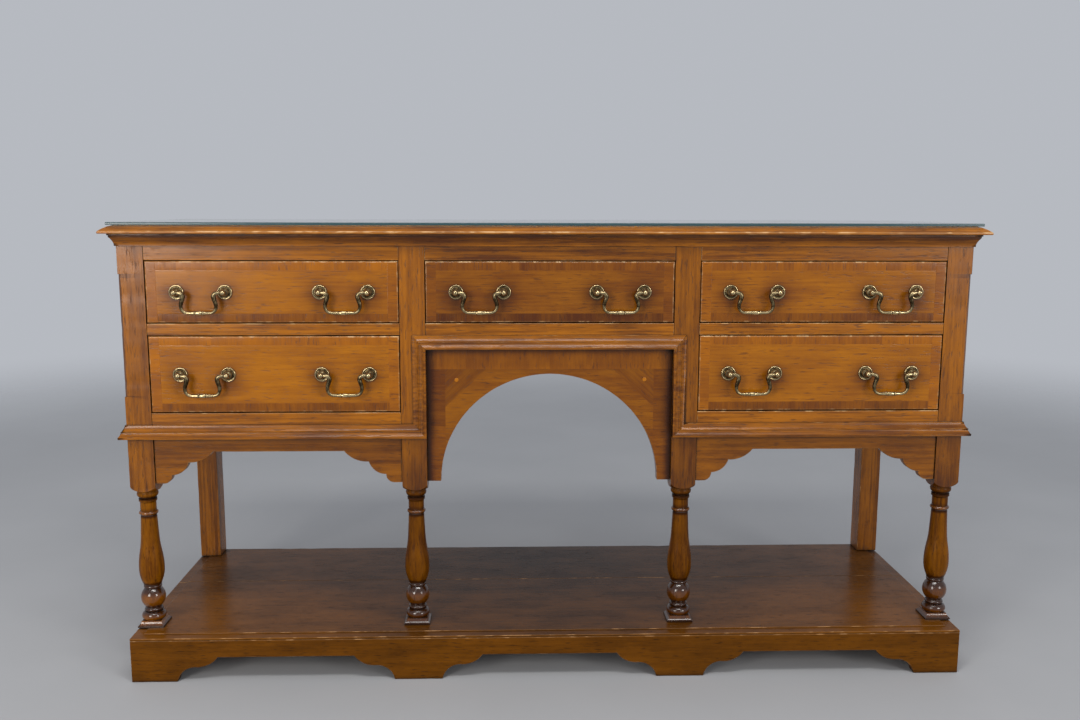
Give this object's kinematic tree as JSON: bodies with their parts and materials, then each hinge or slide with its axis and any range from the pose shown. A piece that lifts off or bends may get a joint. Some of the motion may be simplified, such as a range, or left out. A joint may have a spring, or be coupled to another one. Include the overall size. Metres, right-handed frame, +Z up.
{
  "type": "sideboard",
  "caption": "Oak dresser-base sideboard: drawers round an arched kneehole on turned front legs, with a potboard on a shaped plinth and a glass cover.",
  "frame": {"origin": "on the floor, under the middle of the outer box", "axes": "+X to the right along the front, +Y from the front to the back, +Z up; the front faces -Y"},
  "size_m": [1.624, 0.5, 0.859],
  "materials": {
    "oak_frame": "waxed golden oak",
    "oak_drawer_front": "waxed oak veneer with crossbanded borders",
    "oak_base": "darker waxed oak",
    "inner_timber": "bare secondary timber",
    "brass": "aged polished brass",
    "glass": "clear float glass, green edge"
  },
  "bodies": {
    "carcase": {"glass_top": "glass", "top_board": "oak_frame", "cornice": "oak_frame", "corner_leg_left": "oak_frame", "corner_leg_right": "oak_frame", "inner_leg_left": "oak_frame", "inner_leg_right": "oak_frame", "rear_leg_left": "oak_frame", "rear_leg_right": "oak_frame", "top_rails": "oak_frame", "middle_rails": "oak_frame", "bottom_rails": "oak_frame", "apron_left": "oak_frame", "apron_right": "oak_frame", "arch_panel": "oak_frame", "waist_moulding_left": "oak_frame", "waist_moulding_right": "oak_frame", "waist_moulding_centre": "oak_frame", "side_panel_left": "oak_frame", "side_panel_right": "oak_frame", "side_rails": "oak_frame", "back_panel": "inner_timber", "back_rails": "inner_timber", "partition_left": "inner_timber", "partition_right": "inner_timber", "drawer_runners": "inner_timber", "potboard_front": "oak_base", "potboard_rear": "oak_base", "plinth_front": "oak_base", "plinth_returns": "oak_base"},
    "upper_left_drawer": {"upper_left_drawer_front": "oak_drawer_front", "upper_left_drawer_box": "inner_timber", "upper_left_drawer_bottom": "inner_timber", "upper_left_handle_posts": "brass"},
    "upper_left_bail_left": {"upper_left_bail_left": "brass"},
    "upper_left_bail_right": {"upper_left_bail_right": "brass"},
    "upper_centre_drawer": {"upper_centre_drawer_front": "oak_drawer_front", "upper_centre_drawer_box": "inner_timber", "upper_centre_drawer_bottom": "inner_timber", "upper_centre_handle_posts": "brass"},
    "upper_centre_bail_left": {"upper_centre_bail_left": "brass"},
    "upper_centre_bail_right": {"upper_centre_bail_right": "brass"},
    "upper_right_drawer": {"upper_right_drawer_front": "oak_drawer_front", "upper_right_drawer_box": "inner_timber", "upper_right_drawer_bottom": "inner_timber", "upper_right_handle_posts": "brass"},
    "upper_right_bail_left": {"upper_right_bail_left": "brass"},
    "upper_right_bail_right": {"upper_right_bail_right": "brass"},
    "lower_left_drawer": {"lower_left_drawer_front": "oak_drawer_front", "lower_left_drawer_box": "inner_timber", "lower_left_drawer_bottom": "inner_timber", "lower_left_handle_posts": "brass"},
    "lower_left_bail_left": {"lower_left_bail_left": "brass"},
    "lower_left_bail_right": {"lower_left_bail_right": "brass"},
    "lower_right_drawer": {"lower_right_drawer_front": "oak_drawer_front", "lower_right_drawer_box": "inner_timber", "lower_right_drawer_bottom": "inner_timber", "lower_right_handle_posts": "brass"},
    "lower_right_bail_left": {"lower_right_bail_left": "brass"},
    "lower_right_bail_right": {"lower_right_bail_right": "brass"}
  },
  "joints": [
    {"name": "upper_left_slide", "type": "slide", "parent": "carcase", "child": "upper_left_drawer", "axis": [0, -1, 0], "range_m": [0, 0.3]},
    {"name": "upper_left_bail_left_swing", "type": "hinge", "parent": "upper_left_drawer", "child": "upper_left_bail_left", "pos_m": [-0.6395, -0.219, 0.73225], "axis": [-1, 0, 0], "range_deg": [-18, 198]},
    {"name": "upper_left_bail_right_swing", "type": "hinge", "parent": "upper_left_drawer", "child": "upper_left_bail_right", "pos_m": [-0.3795, -0.219, 0.73225], "axis": [-1, 0, 0], "range_deg": [-18, 198]},
    {"name": "upper_centre_slide", "type": "slide", "parent": "carcase", "child": "upper_centre_drawer", "axis": [0, -1, 0], "range_m": [0, 0.3]},
    {"name": "upper_centre_bail_left_swing", "type": "hinge", "parent": "upper_centre_drawer", "child": "upper_centre_bail_left", "pos_m": [-0.13, -0.219, 0.73225], "axis": [-1, 0, 0], "range_deg": [-18, 198]},
    {"name": "upper_centre_bail_right_swing", "type": "hinge", "parent": "upper_centre_drawer", "child": "upper_centre_bail_right", "pos_m": [0.13, -0.219, 0.73225], "axis": [-1, 0, 0], "range_deg": [-18, 198]},
    {"name": "upper_right_slide", "type": "slide", "parent": "carcase", "child": "upper_right_drawer", "axis": [0, -1, 0], "range_m": [0, 0.3]},
    {"name": "upper_right_bail_left_swing", "type": "hinge", "parent": "upper_right_drawer", "child": "upper_right_bail_left", "pos_m": [0.3795, -0.219, 0.73225], "axis": [-1, 0, 0], "range_deg": [-18, 198]},
    {"name": "upper_right_bail_right_swing", "type": "hinge", "parent": "upper_right_drawer", "child": "upper_right_bail_right", "pos_m": [0.6395, -0.219, 0.73225], "axis": [-1, 0, 0], "range_deg": [-18, 198]},
    {"name": "lower_left_slide", "type": "slide", "parent": "carcase", "child": "lower_left_drawer", "axis": [0, -1, 0], "range_m": [0, 0.3]},
    {"name": "lower_left_bail_left_swing", "type": "hinge", "parent": "lower_left_drawer", "child": "lower_left_bail_left", "pos_m": [-0.6395, -0.219, 0.5795], "axis": [-1, 0, 0], "range_deg": [-18, 198]},
    {"name": "lower_left_bail_right_swing", "type": "hinge", "parent": "lower_left_drawer", "child": "lower_left_bail_right", "pos_m": [-0.3795, -0.219, 0.5795], "axis": [-1, 0, 0], "range_deg": [-18, 198]},
    {"name": "lower_right_slide", "type": "slide", "parent": "carcase", "child": "lower_right_drawer", "axis": [0, -1, 0], "range_m": [0, 0.3]},
    {"name": "lower_right_bail_left_swing", "type": "hinge", "parent": "lower_right_drawer", "child": "lower_right_bail_left", "pos_m": [0.3795, -0.219, 0.5795], "axis": [-1, 0, 0], "range_deg": [-18, 198]},
    {"name": "lower_right_bail_right_swing", "type": "hinge", "parent": "lower_right_drawer", "child": "lower_right_bail_right", "pos_m": [0.6395, -0.219, 0.5795], "axis": [-1, 0, 0], "range_deg": [-18, 198]}
  ]
}
